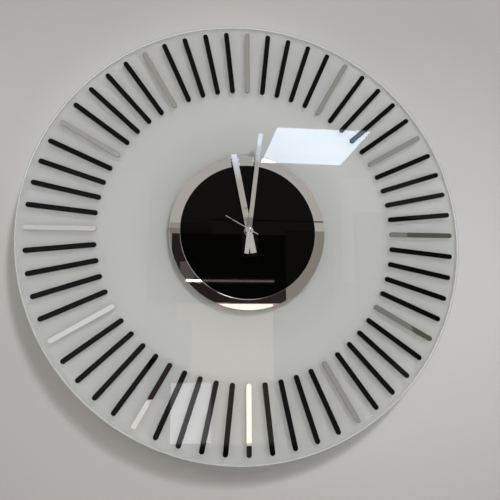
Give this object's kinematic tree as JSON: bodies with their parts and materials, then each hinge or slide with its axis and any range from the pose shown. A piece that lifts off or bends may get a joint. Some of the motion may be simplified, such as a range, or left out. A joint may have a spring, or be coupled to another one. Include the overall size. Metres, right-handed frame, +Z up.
{
  "type": "wall clock",
  "caption": "Round glass wall clock with raised bar markers, a mirror and black centre disc, straight hands and a battery quartz movement, hung on a keyhole bracket.",
  "frame": {"origin": "the wall screw's seat in the keyhole of the hanging bracket, on the plane of the wall", "axes": "+Y into the wall, +Z up, +X to the right of someone who looks at the dial"},
  "size_m": [0.6, 0.0465, 0.6],
  "materials": {
    "dial_glass": "clear float glass with a polished rim, black gloss bars bonded to it",
    "white_lacquer": "white back lacquer",
    "mirror_plate": "mirror",
    "black_acrylic": "black high gloss",
    "hand_metal": "bright brushed",
    "nickel_plate": "bright nickel plate",
    "brass": "machined",
    "black_rubber": "matt",
    "gear_plastic": "moulded, off-white",
    "case_plastic": "moulded, black",
    "magnet": "sintered",
    "soft_iron": "stamped",
    "copper_wire": "enamelled copper wire",
    "circuit_board": "solder mask",
    "battery_sleeve": "plain printed sleeve",
    "zinc_steel": "zinc plated sheet",
    "foam_tape": "foam bonding tape",
    "felt": "pressed felt"
  },
  "bodies": {
    "clock_body": {"dial_glass": "dial_glass", "white_backing": "white_lacquer", "mirror_disc": "mirror_plate", "black_disc": "black_acrylic", "hour_marker_01": "mirror_plate", "hour_marker_02": "mirror_plate", "hour_marker_03": "mirror_plate", "hour_marker_04": "mirror_plate", "hour_marker_05": "mirror_plate", "hour_marker_06": "mirror_plate", "hour_marker_07": "mirror_plate", "hour_marker_08": "mirror_plate", "hour_marker_09": "mirror_plate", "hour_marker_10": "mirror_plate", "hour_marker_11": "mirror_plate", "hour_marker_12": "mirror_plate", "threaded_bush": "brass", "fixing_nut": "nickel_plate", "fixing_washer": "nickel_plate", "rubber_gasket": "black_rubber", "movement_case": "case_plastic", "movement_cover": "case_plastic", "train_plate": "gear_plastic", "stator": "soft_iron", "coil_core": "soft_iron", "coil_bobbin": "gear_plastic", "coil_winding": "copper_wire", "circuit_board": "circuit_board", "clock_chip": "case_plastic", "quartz_crystal": "nickel_plate", "positive_contact": "nickel_plate", "negative_contact": "nickel_plate", "spacer_left": "case_plastic", "spacer_right": "case_plastic", "felt_left": "felt", "felt_right": "felt", "hanging_bracket": "zinc_steel", "glue_pad_left": "foam_tape", "glue_pad_right": "foam_tape"},
    "seconds_hand": {"seconds_hand": "hand_metal", "seconds_hand_cap": "nickel_plate", "seconds_wheel": "gear_plastic"},
    "minute_hand": {"minute_hand": "hand_metal", "minute_hand_nut": "nickel_plate", "cannon_pinion": "brass"},
    "hour_hand": {"hour_hand": "hand_metal", "hour_hand_collar": "brass", "hour_wheel": "gear_plastic"},
    "minute_wheel": {"minute_wheel": "gear_plastic"},
    "setting_knob": {"setting_knob": "gear_plastic"},
    "centre_wheel": {"centre_wheel": "gear_plastic"},
    "third_wheel": {"third_wheel": "gear_plastic"},
    "intermediate_wheel": {"intermediate_wheel": "gear_plastic"},
    "rotor": {"rotor": "gear_plastic", "rotor_magnet": "magnet"},
    "battery": {"battery": "battery_sleeve"}
  },
  "joints": [
    {"name": "seconds_hand_spin", "type": "hinge", "parent": "clock_body", "child": "seconds_hand", "pos_m": [0, -0.03, -0.215], "axis": [0, 1, 0], "continuous": true},
    {"name": "third_wheel_spin", "type": "hinge", "parent": "clock_body", "child": "third_wheel", "pos_m": [-0.00517, -0.0132, -0.20391], "axis": [0, 1, 0], "continuous": true},
    {"name": "centre_wheel_spin", "type": "hinge", "parent": "clock_body", "child": "centre_wheel", "pos_m": [0, -0.0164, -0.215], "axis": [0, 1, 0], "continuous": true},
    {"name": "intermediate_wheel_spin", "type": "hinge", "parent": "clock_body", "child": "intermediate_wheel", "pos_m": [0.01165, -0.0132, -0.21924], "axis": [0, 1, 0], "continuous": true},
    {"name": "rotor_spin", "type": "hinge", "parent": "clock_body", "child": "rotor", "pos_m": [0.01688, -0.0132, -0.21401], "axis": [0, 1, 0], "continuous": true},
    {"name": "minute_hand_spin", "type": "hinge", "parent": "clock_body", "child": "minute_hand", "pos_m": [0, -0.03, -0.215], "axis": [0, 1, 0], "continuous": true},
    {"name": "minute_wheel_spin", "type": "hinge", "parent": "clock_body", "child": "minute_wheel", "pos_m": [-0.01162, -0.0202, -0.218], "axis": [0, 1, 0], "continuous": true},
    {"name": "hour_hand_spin", "type": "hinge", "parent": "clock_body", "child": "hour_hand", "pos_m": [0, -0.03, -0.215], "axis": [0, 1, 0], "continuous": true},
    {"name": "setting_knob_spin", "type": "hinge", "parent": "clock_body", "child": "setting_knob", "pos_m": [-0.02151, -0.0124, -0.21121], "axis": [0, 1, 0], "continuous": true},
    {"name": "battery_slide", "type": "slide", "parent": "clock_body", "child": "battery", "axis": [0, 1, 0], "range_m": [0, 0.022]}
  ],
  "couplings": [
    {"joint": "third_wheel_spin", "follows": "seconds_hand_spin", "ratio": -0.13333},
    {"joint": "centre_wheel_spin", "follows": "seconds_hand_spin", "ratio": 0.016667},
    {"joint": "intermediate_wheel_spin", "follows": "seconds_hand_spin", "ratio": -5},
    {"joint": "rotor_spin", "follows": "seconds_hand_spin", "ratio": 30},
    {"joint": "minute_wheel_spin", "follows": "minute_hand_spin", "ratio": -0.33333},
    {"joint": "hour_hand_spin", "follows": "minute_hand_spin", "ratio": 0.083333},
    {"joint": "setting_knob_spin", "follows": "minute_hand_spin", "ratio": 1}
  ]
}
